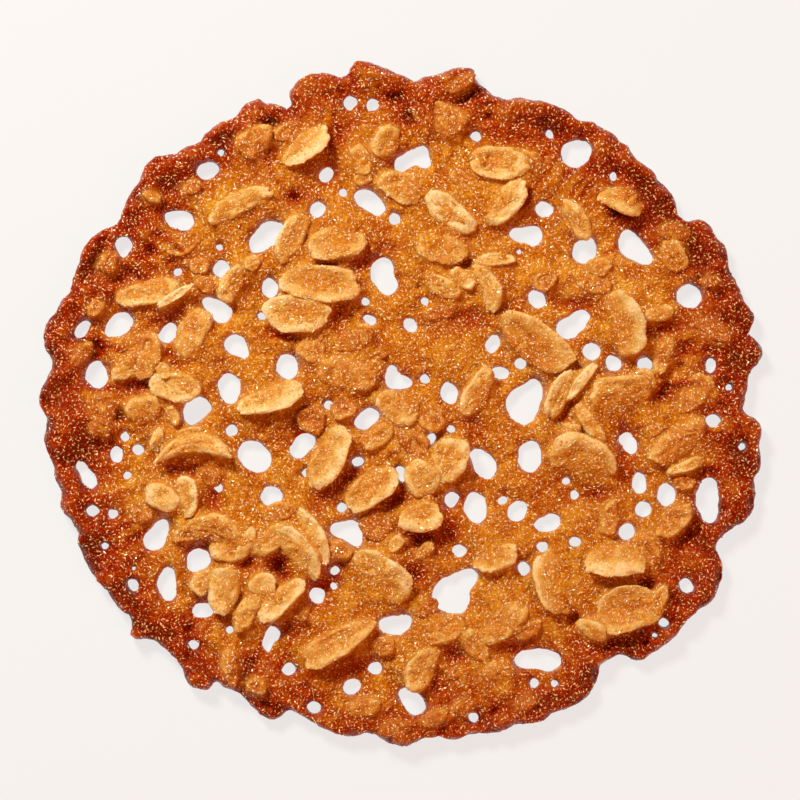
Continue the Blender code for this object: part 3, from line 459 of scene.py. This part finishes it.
# rolled oat flakes: x, y, length and width in mm, turn, stand (height of its top over the lace in mm), lean
# (which long edge stands up, -1 to 1), cup (hollow above 0, crowned below), bow (a bent outline, in mm), and
# tone (0 pale, 1 brown)
flakeRows = (
    (-20.0, 36.0, 5.6, 3.8, 40, 1.1, 0.2, -0.3, 0, 0.45),
    (-22.2, 27.4, 9.4, 3.2, 26, 1.3, -0.1, -0.5, -0.4, 0.12),
    (-34.6, 15.2, 9.2, 3.4, 13, 1.3, -0.5, 0.3, 0, 0.15),
    (-29.8, 22.0, 5.4, 3.0, 25, 0.8, -0.4, 0, 0, 0.38),
    (-23.3, 16.3, 5.6, 3.0, 62, 1.1, 0.4, -0.4, 0, 0.22),
    (-15.0, 22.7, 7.2, 3.6, 62, 1.1, 0.4, 0.1, 0, 0.22),
    (-13.1, 35.3, 7.8, 3.8, 38, 1.9, -0.9, 0, 0, 0.14),
    (-2.1, 35.8, 4.8, 3.5, 60, 1.3, 0.5, -0.2, 0, 0.25),
    (-5.4, 33.4, 4.4, 2.8, -75, 1.0, 0, -0.2, 0, 0.30),
    (0.0, 29.7, 6.4, 4.2, -22, 1.2, -0.3, 0.2, 0, 0.26),
    (5.1, 39.3, 8.0, 4.2, -20, 1.2, 0.1, 0.2, 0, 0.42),
    (13.4, 33.0, 8.0, 4.6, -5, 1.4, -0.3, 0.5, 0, 0.15),
    (17.6, 33.4, 4.4, 2.0, -28, 1.2, 0.3, -0.2, -0.4, 0.32),
    (14.6, 27.6, 7.8, 3.6, 55, 1.6, -0.4, -0.1, 0.5, 0.10),
    (6.8, 26.1, 8.2, 3.8, -38, 1.6, 0.1, -0.25, 0, 0.0),
    (5.6, 21.3, 7.0, 4.4, -12, 1.2, -0.3, 0.3, 0, 0.30),
    (13.0, 19.7, 5.6, 1.9, 3, 1.2, -0.2, -0.3, 0, 0.10),
    (12.0, 15.9, 7.2, 2.6, -68, 1.5, 0.3, 0, -1.2, 0.15),
    (5.7, 16.0, 5.4, 2.7, -28, 1.2, 0.2, -0.1, 0, 0.15),
    (-8.8, 21.9, 8.0, 4.4, 5, 1.4, -0.4, 0.2, 0, 0.26),
    (-11.0, 16.4, 11.0, 5.0, -5, 1.4, -0.2, 0.7, 0, 0.24),
    (-14.2, 12.3, 9.2, 5.2, -2, 1.6, -0.2, 0.5, 0, 0.12),
    (-12.2, 7.7, 4.4, 3.7, 60, 0.9, 0, -0.2, 0, 0.30),
    (-7.4, 4.0, 8.2, 4.6, -14, 1.2, 0.1, -0.1, 0, 0.36),
    (-0.4, -0.6, 6.2, 4.4, -28, 1.2, -0.3, -0.1, 0, 0.26),
    (10.6, 1.6, 7.4, 3.4, 62, 1.2, 0.5, -0.2, 0, 0.25),
    (-3.3, -4.6, 4.8, 3.2, 32, 1.1, -0.3, -0.2, 0, 0.24),
    (6.7, -7.8, 6.2, 5.0, 75, 1.4, -0.3, 0, 0, 0.17), (2.9, -10.3, 5.2, 4.8, -45, 1.5, 0.1, 0.2, 0, 0.18),
    (-9.9, -7.6, 9.4, 4.4, 62, 1.7, -0.8, 0.1, 0, 0.17),
    (-4.1, -11.9, 8.4, 4.4, 36, 1.5, -0.5, 0.3, 0, 0.22),
    (2.7, -15.7, 6.0, 4.2, 12, 2.0, -0.7, 0, 0, 0.22),
    (-12.0, -18.3, 8.6, 2.8, -65, 1.7, 0.5, -0.3, -0.6, 0.06),
    (-14.0, -20.4, 8.8, 3.6, -50, 1.9, 0.6, -0.4, -0.6, 0.12),
    (-16.4, -27.0, 8.2, 3.2, 42, 1.8, -0.7, 0, 0, 0.12),
    (-2.5, -23.8, 9.4, 5.4, -42, 1.8, 0.7, 0.1, 0, 0.20),
    (13.0, -21.4, 6.4, 3.4, 20, 1.3, -0.6, 0, 0, 0.24),
    (-8.6, -32.9, 11.2, 3.8, 30, 1.9, -0.5, 0.4, 0, 0.28),
    (2.8, -36.6, 6.6, 3.8, 62, 1.4, 0.4, -0.1, 0, 0.24),
    (5.8, -31.3, 7.4, 3.6, 20, 1.1, -0.3, -0.1, 0, 0.36),
    (10.2, -33.4, 5.2, 3.0, -55, 1.2, 0.2, -0.2, 0, 0.32),
    (13.0, -37.8, 5.8, 4.6, 30, 1.1, 0.2, -0.1, 0, 0.45),
    (14.2, -30.2, 7.6, 3.8, 42, 1.3, -0.3, -0.1, 0, 0.28),
    (21.2, -24.9, 9.2, 5.4, -68, 1.6, -0.6, 0.3, 0, 0.22),
    (29.3, -21.7, 8.4, 4.4, 0, 2.6, -1.0, -0.1, -0.6, 0.20),
    (31.6, -28.2, 9.4, 6.2, 12, 1.6, 0, 0.9, 0, 0.24),
    (26.2, -31.1, 4.6, 2.6, -28, 1.3, 0.2, -0.4, 0, 0.22),
    (37.6, -16.2, 6.0, 3.0, 42, 1.5, -0.5, -0.3, 0, 0.40),
    (28.7, -15.8, 5.0, 2.4, 78, 1.2, 0.2, -0.4, 0, 0.34),
    (30.8, 11.0, 9.2, 5.0, -72, 1.9, 0.9, 0.2, 0, 0.24),
    (35.5, 12.3, 4.2, 2.2, 12, 1.1, -0.1, -0.3, 0, 0.30),
    (18.5, 8.4, 11.4, 5.6, -38, 1.9, 0.7, 0.2, 0, 0.32),
    (21.7, 1.2, 7.0, 2.8, 65, 1.8, 0.5, -0.2, 0, 0.16),
    (24.8, 3.0, 6.4, 1.6, 52, 1.9, 0.2, -0.2, 0, 0.05),
    (26.0, -2.9, 6.6, 2.2, -55, 1.6, 0.1, -0.2, 0, 0.22),
    (30.2, 1.1, 8.4, 5.6, 15, 1.6, 0.7, -0.3, 0, 0.30), (36.1, 6.4, 5.0, 2.4, 68, 1.0, 0, -0.3, 0, 0.36),
    (40.4, 1.4, 6.0, 3.4, 52, 1.1, -0.2, -0.2, 0, 0.34),
    (38.2, -5.4, 8.8, 4.2, 36, 1.7, 0.2, -0.7, 0, 0.38),
    (25.0, -7.3, 9.4, 5.4, -14, 1.8, 0.7, -0.2, -0.8, 0.26),
    (24.2, 25.2, 6.4, 2.8, -60, 1.3, 0.3, -0.4, 0, 0.20),
    (30.2, 27.7, 6.4, 3.4, -18, 2.0, -0.8, 0, -0.5, 0.34),
    (37.4, 20.2, 4.6, 3.6, -62, 1.3, 0.3, 0, 0, 0.34),
    (-35.5, 6.6, 6.4, 5.2, 62, 1.4, -0.4, -0.2, 0, 0.38),
    (-28.6, 9.7, 7.4, 4.0, 62, 1.3, -0.2, -0.3, 0, 0.22),
    (-31.0, 2.2, 7.2, 4.0, -8, 1.6, -0.3, 0.1, 0, 0.14),
    (-35.4, -0.9, 5.0, 3.8, 15, 1.2, 0.3, -0.2, 0, 0.32),
    (-41.4, -1.9, 6.0, 4.2, 85, 0.9, 0, -0.3, 0, 0.58),
    (-28.4, -6.2, 10.4, 2.8, 4, 2.0, -0.2, -0.8, -1.9, 0.22),
    (-32.6, -13.0, 5.2, 3.6, -22, 1.7, -0.2, -0.1, 0, 0.10),
    (-29.3, -12.8, 5.8, 2.8, -82, 1.5, 0.4, -0.2, -0.4, 0.12),
    (-25.2, -17.2, 8.4, 2.8, -20, 1.6, 0.2, -0.5, -1.3, 0.24),
    (-24.3, -25.7, 6.6, 4.4, 80, 1.7, 0.2, -0.6, 0, 0.20),
    (-21.3, -19.4, 5.0, 2.0, 62, 1.5, 0.1, -0.4, 0, 0.12),
    (-17.8, -18.6, 6.6, 3.2, 35, 1.5, -0.3, -0.2, 0, 0.22),
    (-21.2, -28.8, 5.8, 2.8, 62, 1.4, -0.2, -0.4, 0, 0.26),
    (-17.8, 0.6, 9.6, 3.6, 18, 1.8, -0.8, 0.1, 0, 0.14),
    (-6.4, 8.7, 5.6, 3.4, 30, 0.9, 0.1, -0.1, 0, 0.42),
    (-31.0, 14.7, 5.8, 1.3, 31, 2.0, -0.1, -0.2, 0, 0.03),
    (-42.0, 13.0, 2.8, 2.1, 50, 0.9, 0, -0.3, 0, 0.40),
    (-27.7, 18.9, 2.9, 2.4, 10, 0.9, 0, -0.3, 0, 0.32),
    (-20.5, 19.2, 2.4, 2.2, 30, 1.0, 0, -0.2, 0, 0.22), (8.3, 30.9, 3.4, 2.6, -35, 0.8, 0, -0.2, 0, 0.34),
    (-15.4, 37.2, 4.2, 2.6, 20, 0.8, 0, 0.6, 0, 0.45),
    (8.3, 43.8, 4.6, 1.8, 30, 0.9, -0.2, -0.2, 0, 0.70),
    (8.4, 17.1, 3.9, 2.4, -40, 1.1, 0.2, -0.2, 0, 0.16), (4.3, -2.4, 3.6, 3.4, -30, 0.9, 0, 0.3, 0, 0.42),
    (1.6, -5.2, 5.4, 3.4, -42, 0.9, 0.1, 0, 0, 0.44), (-8.3, -20.3, 3.6, 2.6, -20, 1.0, 0, -0.3, 0, 0.38),
    (-3.4, -16.8, 4.4, 4.4, -50, 0.8, 0, -0.1, 0, 0.50),
    (-0.7, -19.4, 2.8, 1.8, 50, 1.3, 0, -0.3, 0, 0.20), (3.3, -20.3, 3.2, 1.8, 45, 0.9, 0, -0.3, 0, 0.36),
    (-2.4, -33.4, 3.2, 2.8, 0, 0.8, 0, -0.2, 0, 0.44),
    (-5.1, -41.9, 4.8, 2.6, 15, 1.0, -0.2, -0.3, 0, 0.38),
    (-0.7, -44.8, 4.8, 2.2, 10, 0.8, -0.1, -0.3, 0, 0.72),
    (4.7, -43.3, 4.2, 2.0, 27, 0.9, -0.1, -0.3, 0, 0.45),
    (-23.4, -36.3, 5.4, 2.2, -80, 1.3, -0.3, -0.4, 0, 0.50),
    (-19.8, -38.9, 2.9, 2.2, -20, 1.1, 0, -0.4, 0, 0.52),
    (42.9, 10.0, 5.4, 2.6, -26, 0.9, 0.1, -0.3, 0, 0.58),
    (17.4, -31.2, 4.4, 2.2, 25, 0.9, -0.2, -0.2, 0, 0.42),
    (33.6, -20.6, 5.6, 3.8, -60, 1.1, 0.2, 0, 0, 0.46), (33.3, 3.2, 3.6, 3.0, 0, 1.2, 0, -0.3, 0, 0.26),
    (39.3, -8.6, 6.0, 1.6, 21, 1.3, -0.1, -0.2, 0, 0.18),
    (23.3, -3.6, 3.2, 1.8, 5, 1.0, 0, -0.2, 0, 0.16), (37.5, 23.4, 4.6, 2.6, 0, 0.7, 0, 0, 0, 0.62),
    (26.8, 16.1, 4.6, 2.4, -8, 0.8, -0.1, -0.2, 0, 0.38),
    (27.2, 18.7, 3.4, 2.8, 0, 0.9, 0, -0.3, 0, 0.30), (19.9, 16.8, 3.4, 2.6, 30, 0.8, 0, 0, 0, 0.36),
    (-31.3, -1.8, 2.8, 1.7, -65, 1.0, 0, -0.3, 0, 0.30),
    (-26.2, -10.2, 3.4, 2.4, -30, 0.7, 0, 0, 0, 0.40), (-28.9, -4.1, 3.6, 1.6, 8, 1.2, 0, -0.2, 0, 0.24),
    (-33.5, -5.2, 3.4, 1.9, 75, 1.1, 0, -0.3, 0, 0.26),
    (-35.6, -15.3, 3.0, 2.8, 30, 0.9, 0, -0.3, 0, 0.40),
    (-28.6, -17.8, 6.0, 2.6, 14, 1.0, 0.4, 0, -0.4, 0.36),
    (-24.2, -20.6, 4.6, 2.4, -18, 1.3, -0.2, -0.2, 0, 0.30),
    (-27.3, -24.6, 3.8, 3.0, 60, 1.1, 0, -0.2, 0, 0.22),
    (-19.0, -25.0, 3.8, 3.4, 0, 1.3, 0, -0.2, 0, 0.16), (-12.3, -2.4, 4.0, 3.8, 0, 0.7, 0, 0.2, 0, 0.48),
    (-8.0, -0.9, 3.6, 2.8, 0, 0.8, 0, -0.1, 0, 0.40), (-16.7, -14.9, 5.0, 2.6, 12, 1.0, 0, -0.1, 0, 0.30),
    (-34.1, 28.3, 2.6, 1.5, -20, 0.9, 0, -0.3, 0, 0.28),
    (-28.6, 29.6, 2.6, 1.8, 20, 0.7, 0, -0.2, 0, 0.45),
    (-40.2, 19.2, 3.2, 2.6, 70, 0.8, 0, -0.3, 0, 0.50), (-43.9, 6.6, 4.6, 1.9, 52, 0.9, 0, -0.3, 0, 0.48),
    (-38.1, 4.3, 3.4, 2.2, 22, 1.4, 0, -0.3, 0, 0.14), (-32.6, 4.4, 2.4, 1.9, -60, 1.5, 0, -0.2, 0, 0.24),
    (-26.8, 16.2, 3.2, 2.2, -30, 0.8, 0, -0.2, 0, 0.42),
    (-5.2, 30.8, 2.6, 1.8, 15, 0.9, 0, -0.2, 0, 0.30), (5.6, 12.7, 4.6, 2.4, 20, 0.6, 0, -0.1, 0, 0.46),
    (-3.4, 6.3, 3.2, 1.4, 20, 0.7, 0, -0.3, 0, 0.40), (42.6, 16.6, 2.2, 1.6, 0, 0.7, 0, -0.2, 0, 0.60),
    (25.7, -9.7, 3.4, 1.6, 5, 0.9, 0, -0.2, 0, 0.22), (38.9, -11.0, 3.2, 2.0, 0, 0.8, 0, 0, 0, 0.42),
    (30.4, -24.8, 3.6, 2.0, -20, 0.7, 0, -0.2, 0, 0.34),
    (35.3, -27.2, 4.6, 2.2, 65, 1.5, 0, -0.2, 0, 0.28),
    (17.0, -41.3, 3.6, 2.0, 30, 0.7, 0, -0.2, 0, 0.52), (7.2, -37.2, 2.4, 1.8, 20, 0.7, 0, -0.2, 0, 0.45),
    (40.4, -2.9, 2.6, 2.2, 20, 1.1, 0, -0.2, 0, 0.30), (34.8, -3.8, 2.6, 1.8, 30, 0.9, 0, -0.2, 0, 0.30),
    (3.7, -28.2, 3.4, 2.2, 40, 0.7, 0, -0.2, 0, 0.45), (8.6, -42.0, 3.2, 2.0, 40, 0.7, 0, -0.2, 0, 0.52),
    (-13.5, -28.9, 2.6, 2.0, 60, 0.6, 0, 0, 0, 0.50),
)

flakePlan = {
    "flake": (44, 20), "crumb": (28, 12), "crumbLength": 5.2,  # sides and rings of each blank; mm
    "thick": 0.9, "sink": 0.32, "lowest": 0.6,  # mm
    "broadest": 1.3,  # mm: a flake bends by a quarter of its width, but by no more than this
    # the outline: how square it is, its taper, its lobes (count, height and turn) and its ragged edge
    "square": 2.3, "round": 0.8, "taper": 0.16, "lobes": ((3, 0.045, 1.7), (5, 0.03, 2.9), (9, 0.02, 4.1)),
    "ragged": 0.07, "tatter": 0.14,
    # the sheet: its edges and ends curl up, a crease runs along it, and it has dimples (mm across, mm deep)
    "edgeRise": 1.0, "cupping": 0.9, "endRise": 0.25, "endCurl": 0.45, "middleCup": 0.3, "middleBow": 0.35,
    "crease": 0.28, "creaseWidth": 0.16, "faintCrease": 0.2,
    "dimples": ((2.2, 0.36), (1.1, 0.28), (0.55, 0.13)),
    # the lip, a raised band inside its edge, stronger in patches
    "lip": 0.20, "lipPlace": 0.80, "lipWidth": 0.15, "lipEvenly": 0.7, "lipPatchy": 1.2, "patch": 2.6,
    # the glaze: what each region adds to the row's tone, or takes off it
    "toneGain": 1.6, "tan": -0.13, "middleTan": 0.06, "rimPale": 0.06, "blotches": 0.25, "blotch": 1.6,
    "hollowGlaze": 0.10, "hollowReach": 0.55, "hollowEvenly": 0.5, "clearHeight": 1.1, "lowGlaze": 0.35,
    "lowSide": 0.35, "highSide": -0.2,
}


def addFlake(body, seed, row, index, rng):  # bends a blank into the row's flake: u runs along it, v across
    x, y, length, width, turn, stand, lean, cup, bow, tone = row
    plan = flakePlan
    ground = sheetTop(float(rimGap(np.array([[x * mm, y * mm, 0]]))[0]))
    broad = min(width / 4, plan["broadest"])
    endRise, endCurl, taper = rng.uniform(-1, 1, 3) * (plan["endRise"], plan["endCurl"], plan["taper"])
    px, py, pz = points(seed).T
    out, phi = np.hypot(px, py), np.arctan2(py, px)
    own = np.full(len(phi), index * 3.7)  # each flake has its own part of the noise
    ring = np.stack([np.cos(phi), np.sin(phi), own], axis=1)
    square = plan["square"]
    rough = (abs(np.cos(phi)) ** square + abs(np.sin(phi)) ** square) ** (-1 / square)
    rough *= 1 + sum(high * np.cos(count * phi + index * shift) for count, high, shift in plan["lobes"])
    rough += plan["ragged"] * waves(ring * mm, plan["tatter"], salt=0)
    u, v = px * rough, py * rough
    spread = np.stack([u * length / 2, v * width / 2, own], axis=1) * mm
    patchy = waves(spread, plan["patch"], salt=17)

    bend = plan["edgeRise"] * lean * v + plan["cupping"] * cup * (v * v - plan["middleCup"])
    middle = stand - plan["sink"] - plan["thick"] / 2 + broad * bend
    middle += endRise * u + endCurl * u * u
    crease = plan["crease"] * broad * rng.uniform(plan["faintCrease"], 1)
    middle -= crease * np.exp(-(v / plan["creaseWidth"]) ** 2) * np.clip(1 - u * u, 0, 1)
    middle += sum(deep * waves(spread, size, salt=3) for size, deep in plan["dimples"])
    lip = plan["lip"] * (plan["lipEvenly"] + plan["lipPatchy"] * patchy)
    middle += lip * np.exp(-((out - plan["lipPlace"]) / plan["lipWidth"]) ** 2)
    top = middle + plan["thick"] / 2 * np.sign(pz) * abs(pz) ** plan["round"]
    along, across = u * length / 2, v * width / 2 * (1 + taper * u) + bow * (u * u - plan["middleBow"])
    c, s = turnShares(turn)
    co = np.stack([x + along * c - across * s, y + along * s + across * c, ground + top], axis=1) * mm
    co[:, 2] = np.maximum(co[:, 2], plan["lowest"] * mm)

    clear = np.clip(top / plan["clearHeight"], 0, 1)
    glaze = plan["toneGain"] * tone + plan["tan"] + plan["middleTan"] * (1 - out)
    glaze -= plan["rimPale"] * out ** 4
    glaze += plan["lowGlaze"] * (1 - clear) ** 2
    hollow = np.exp(-(out / plan["hollowReach"]) ** 4)
    glaze += plan["hollowGlaze"] * (plan["hollowEvenly"] - patchy) * hollow
    side = np.clip(-lean * v, plan["highSide"], 1)
    glaze += plan["lowSide"] * side + plan["blotches"] * waves(spread, plan["blotch"], salt=7)
    mesh = seed.copy()
    mesh.vertices.foreach_set("co", co.ravel())
    storeShare(mesh, "glaze", glaze)
    body.from_mesh(mesh)
    bpy.data.meshes.remove(mesh)


def buildFlakes(material):
    seeds = {}
    for kind in ("flake", "crumb"):
        around, rings = flakePlan[kind]
        one = bmesh.new()
        bmesh.ops.create_uvsphere(one, u_segments=around, v_segments=rings, radius=1.0)
        seeds[kind] = bpy.data.meshes.new(kind)
        one.to_mesh(seeds[kind])
        one.free()
    body = bmesh.new()
    rng = np.random.default_rng(23)
    for index, row in enumerate(flakeRows):
        kind = "flake" if row[2] > flakePlan["crumbLength"] else "crumb"
        addFlake(body, seeds[kind], row, index, rng)
    mesh = bpy.data.meshes.new("oat_flakes")
    body.to_mesh(mesh)
    body.free()
    for seed in seeds.values():
        bpy.data.meshes.remove(seed)
    print("oat flakes", len(flakeRows), "with", len(mesh.polygons), "faces")
    return newPiece("oat_flakes", mesh, material)


def glazeFlakes(flakes, laceTree):  # flakes are pale where they stand clear and stained near the caramel
    mesh = flakes.data
    layer = mesh.attributes["glaze"].data
    glaze = np.empty(len(mesh.vertices), dtype=np.float32)
    layer.foreach_get("value", glaze)
    for index, vert in enumerate(mesh.vertices):
        ground = lookDown(laceTree, vert.co.x, vert.co.y)
        if ground[0]:
            clear = max(0.0, min(1.0, (vert.co.z - ground[0].z) / (flakePlan["clearHeight"] * mm)))
            glaze[index] += flakePlan["lowGlaze"] * (1 - clear) ** 2
    layer.foreach_set("value", glaze)


# sugar grains, half sunk in what they lie on. In each plan the sizes are in mm, slim is a grain's breadth as
# a share of its length, flat is how much it lies along the surface, bare is the share of spots left empty,
# and the stain entry is its own stain (near 0: near-white painted glints), how much of the ground's stain
# and painted shade it takes, and the spread
crustPlan = {
    "name": "sugar_crust", "spacing": 0.58, "small": 0.12, "large": 0.24, "slim": (0.5, 0.9),
    "flat": 0.6, "bare": 0.05, "stainAndLight": (0.36, 0.56, 0.16), "splinters": False,
}
# the sparkles' own stain sits near the pale end: near-white and cream grains painted as glints on real sugar
sparklePlan = {
    "name": "sugar_sparkles", "spacing": 0.49, "small": 0.12, "large": 0.34, "slim": (0.28, 0.42),
    "flat": 0.8, "bare": 0.1, "stainAndLight": (-0.06, 0.20, 0.10), "splinters": False,
}
dustPlan = {
    "name": "sugar_dust", "spacing": 0.39, "small": 0.05, "large": 0.10, "slim": (0.6, 1.0),
    "flat": 0.0, "bare": 0.1, "stainAndLight": (-0.02, 0.5, 0.12), "splinters": True,
}
grainPlan = {  # for all three
    "lean": 0.25, "lowest": 0.8,  # the least upward lean, and height in mm, of a surface that holds a grain
    "mostlySmall": 1.6, "splinterLength": 1.5,
    "goldPaling": 0.35, "flakeStain": 0.38, "flakePaling": 0.22,  # how the film and the flakes stain them
}


def grainBlank(splinters):  # one grain: an eight-sided crystal of radius 1, or a four-sided splinter
    seed = bmesh.new()
    if splinters:
        bmesh.ops.create_cone(seed, cap_ends=True, cap_tris=False, segments=3, radius1=1.0, radius2=0.0,
                              depth=grainPlan["splinterLength"])
    else:
        bmesh.ops.create_uvsphere(seed, u_segments=4, v_segments=2, radius=1.0)
    shape = np.array([v.co for v in seed.verts])
    sides = np.array([[v.index for v in face.verts] for face in seed.faces])
    seed.free()
    return shape, sides


def topSurface(grounds, x, y):  # the uppermost point there, its normal and its stain with any painted shade, or None over a hole
    best = None
    for tree, stainAndLight in grounds:
        hit = lookDown(tree, x, y)
        if hit[0] and (best is None or hit[0].z > best[0].z):
            best = (hit[0], hit[1], stainAndLight[hit[2]])
    return best


def strewSpots(plan, grounds):  # where the grains lie, which way is up there, and what stains them, painted shade included
    step = plan["spacing"]
    low, high = cadBox
    spots, lays, groundStainsAndShade = [], [], []
    for x in np.arange(low[0] / mm, high[0] / mm, step):
        for y in np.arange(low[1] / mm, high[1] / mm, step):
            px, py = (np.array((x, y)) + chance.uniform(-0.5, 0.5, 2) * step) * mm
            best = topSurface(grounds, px, py)
            held = best and best[1].z > grainPlan["lean"] and best[0].z > grainPlan["lowest"] * mm
            if held and chance.random() > plan["bare"]:
                spots.append(best[0])
                lays.append(best[1])
                groundStainsAndShade.append(best[2])
    return np.array(spots), np.array(lays), np.array(groundStainsAndShade)


def buildGrains(plan, material, grounds):
    shape, sides = grainBlank(plan["splinters"])
    spots, lay, groundStainsAndShade = strewSpots(plan, grounds)
    count = len(spots)
    # each grain's long way, more or less along the surface it lies on, then two directions square to it
    long = chance.normal(size=(count, 3))
    long -= plan["flat"] * lay * (long * lay).sum(axis=1)[:, None]
    long /= np.linalg.norm(long, axis=1)[:, None]
    side = np.cross(long, chance.normal(size=(count, 3)))
    side /= np.linalg.norm(side, axis=1)[:, None]
    spin = np.stack([long, side, np.cross(long, side)], axis=2)
    sizeShare = chance.random(count) ** grainPlan["mostlySmall"]
    size = (plan["small"] + (plan["large"] - plan["small"]) * sizeShare) * mm
    broad, deep = chance.uniform(*plan["slim"], count), chance.uniform(*plan["slim"], count)
    stretch = np.stack([np.ones(count), broad, deep], axis=1)
    corners = np.einsum("nij,nkj->nki", spin, shape[None] * (stretch * size[:, None])[:, None])
    corners += spots[:, None]
    faces = (sides[None] + np.arange(count)[:, None, None] * len(shape)).reshape(-1, 3)
    mesh = bpy.data.meshes.new(plan["name"])
    mesh.from_pydata(corners.reshape(-1, 3).tolist(), [], faces.tolist())
    own, follow, spread = plan["stainAndLight"]
    stainAndLight = own + follow * groundStainsAndShade + chance.uniform(-spread, spread, count)
    storeShare(mesh, "stainAndLight", np.repeat(stainAndLight, len(shape)))
    mesh.update()
    print(plan["name"], count, "grains")
    return newPiece(plan["name"], mesh, material, smooth=False)


# the stage: a plain pale floor and wall, soft light from the far left, and a camera looking straight down
stagePlan = {
    "lens": 200.0, "sensor": 36.0, "across": 110.15, "middle": (-0.12, 0.40), "seenHeight": 1.2,  # mm
    "card": "#70757E",
    "floor": {"reach": 1.0, "sink": 0.00002, "glow": "#FFFFFF", "strength": 0.75, "gloss": 0.0},  # m
    "wall": {"reach": 0.98, "height": 2.4, "sides": 96, "glow": "#FFFAF5", "strength": 0.8, "gloss": 0.5},
    "key": {"from": (-0.19, 0.30, 0.34), "size": 0.11, "power": 2.58, "tint": "#FFF5D4"},  # m, m, W
    "fill": {"from": (0.34, -0.20, 0.30), "size": 0.30, "power": 0.85, "tint": "#FFA650"},
    "room": {"tint": "#FF8C36", "strength": 0.25},
}


def mattCard(name, plan):
    # matt card, lit a little from within so that it stays pale under the cookie's holes and at a low angle
    material, shader = newMaterial(name)
    shader.inputs["Base Color"].default_value = linearColour(stagePlan["card"])
    shader.inputs["Roughness"].default_value = 1.0
    shader.inputs["Specular IOR Level"].default_value = plan["gloss"]
    shader.inputs["Emission Color"].default_value = linearColour(plan["glow"])
    shader.inputs["Emission Strength"].default_value = plan["strength"]
    return material


def buildFloor():
    plan = stagePlan["floor"]
    card = bmesh.new()
    place = Matrix.Translation((0, 0, -plan["sink"]))
    bmesh.ops.create_grid(card, x_segments=1, y_segments=1, size=plan["reach"], matrix=place)
    mesh = bpy.data.meshes.new("floor")
    card.to_mesh(mesh)
    card.free()
    floor = newPiece("floor", mesh, mattCard("white_card", plan))


def buildBackdrop():  # a pale round wall where the floor ends; it is only seen, and casts no light or shade
    plan = stagePlan["wall"]
    paper = bmesh.new()
    bmesh.ops.create_cone(paper, cap_ends=False, segments=plan["sides"], radius1=plan["reach"],
                          radius2=plan["reach"], depth=plan["height"])
    mesh = bpy.data.meshes.new("backdrop")
    paper.to_mesh(mesh)
    paper.free()
    backdrop = newPiece("backdrop", mesh, mattCard("white_paper", plan))
    backdrop.visible_diffuse = backdrop.visible_glossy = backdrop.visible_transmission = False
    backdrop.visible_volume_scatter = backdrop.visible_shadow = False


def addLight(name, plan):
    light = bpy.data.lights.new(name, "AREA")
    light.size = plan["size"]
    light.energy = plan["power"]
    light.color = linearColour(plan["tint"])[:3]
    lamp = bpy.data.objects.new(name, light)
    bpy.context.scene.collection.objects.link(lamp)
    lamp.location = plan["from"]
    lamp.rotation_euler = (-Vector(plan["from"])).to_track_quat("-Z", "Y").to_euler()


def addCamera():
    lens = bpy.data.cameras.new("camera")
    lens.lens = stagePlan["lens"]
    lens.sensor_width = stagePlan["sensor"]
    camera = bpy.data.objects.new("camera", lens)
    bpy.context.scene.collection.objects.link(camera)
    far = stagePlan["lens"] * stagePlan["across"] / stagePlan["sensor"]
    x, y = stagePlan["middle"]
    camera.location = (x * mm, y * mm, (far + stagePlan["seenHeight"]) * mm)
    bpy.context.scene.camera = camera


def setWorld():
    world = bpy.data.worlds.new("studio")
    world.use_nodes = True
    sky = world.node_tree.nodes["Background"]
    sky.inputs["Color"].default_value = linearColour(stagePlan["room"]["tint"])
    sky.inputs["Strength"].default_value = stagePlan["room"]["strength"]
    bpy.context.scene.world = world
    bpy.context.scene.view_settings.view_transform = "Standard"


lace = buildLace(bakedCaramelAndShade())
flakes = buildFlakes(toastedOat())
flakeTree = treeOf(flakes.data)
drapeLace(lace, flakeTree)
laceTree = treeOf(lace.data)
glazeFlakes(flakes, laceTree)

# what the grains lie on, and how much it stains them: less where the caramel is a golden film, and on
# flakes; on the lace it also passes on the painted shade and highlight
filmed = zip(faceShares(lace.data, "browningAndShade"), faceShares(lace.data, "gold"))
laceStainAndShade = [brownedAndShaded - grainPlan["goldPaling"] * golden for brownedAndShaded, golden in filmed]
flakeStain = faceShares(flakes.data, "glaze", grainPlan["flakeStain"], -grainPlan["flakePaling"])
grounds = ((laceTree, laceStainAndShade), (flakeTree, flakeStain))
sugar = sugarCrystalAndGlint()
crust = buildGrains(crustPlan, sugar, grounds)
sparkles = buildGrains(sparklePlan, sugar, grounds)
dust = buildGrains(dustPlan, sugar, grounds)

for piece in (lace, flakes, crust, sparkles, dust):
    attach(piece, "root")
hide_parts("cookie")

buildFloor()
buildBackdrop()
addLight("key", stagePlan["key"])
addLight("fill", stagePlan["fill"])
addCamera()
setWorld()
print("stage set")
